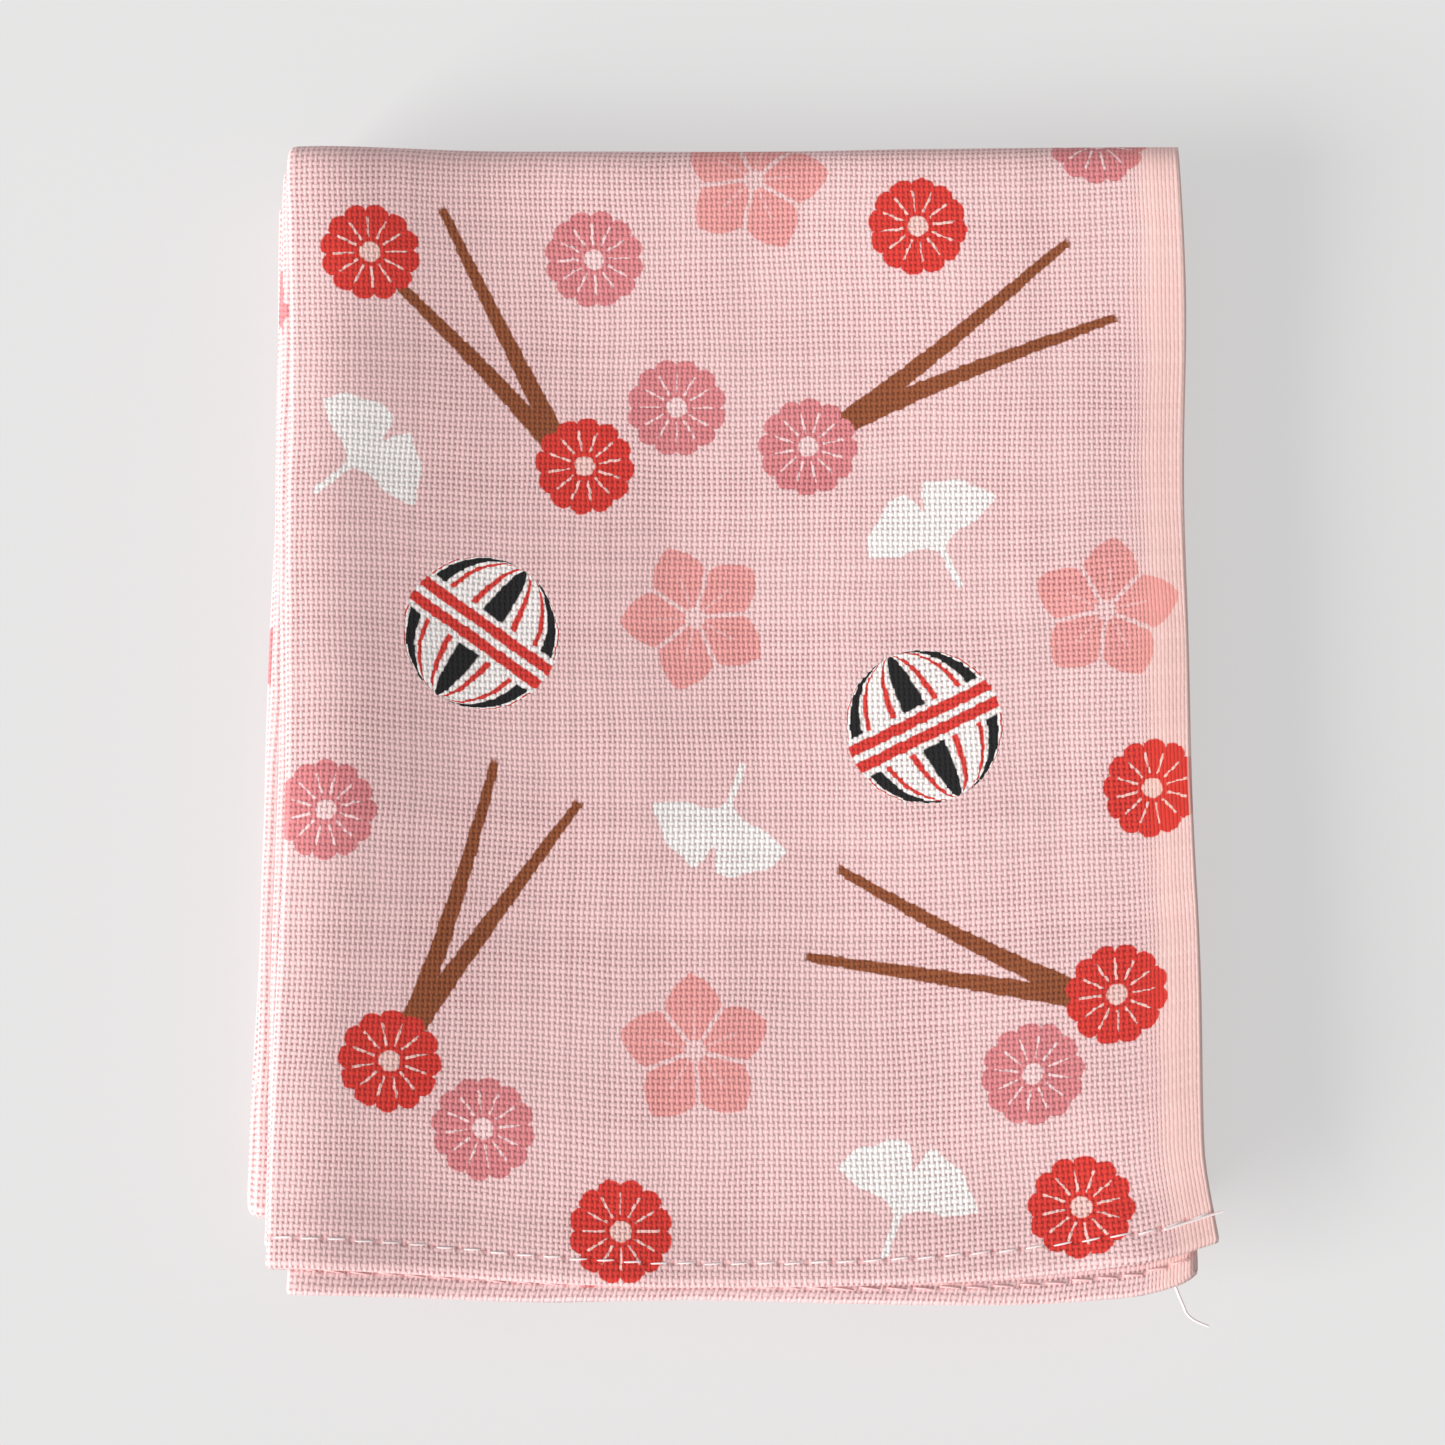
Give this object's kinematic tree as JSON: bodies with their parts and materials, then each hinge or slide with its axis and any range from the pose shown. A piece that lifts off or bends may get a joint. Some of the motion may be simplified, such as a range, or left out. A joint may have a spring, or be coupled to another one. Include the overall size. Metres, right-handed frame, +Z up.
{
  "type": "folded tenugui towel",
  "caption": "Thin plain-woven cotton hand towel, folded across and along into a small flat pile, with its hemmed ends at the front.",
  "frame": {"origin": "on the surface that the pile lies on, under its middle", "axes": "+Z up, +Y from the hemmed front ends to the folded back, +X to the selvedge side"},
  "size_m": [0.0914, 0.1144, 0.0129],
  "materials": {
    "cotton": "matt plain-woven cotton, pink ground with a small printed pattern"
  },
  "bodies": {
    "root": {"towel": "cotton"}
  },
  "joints": []
}
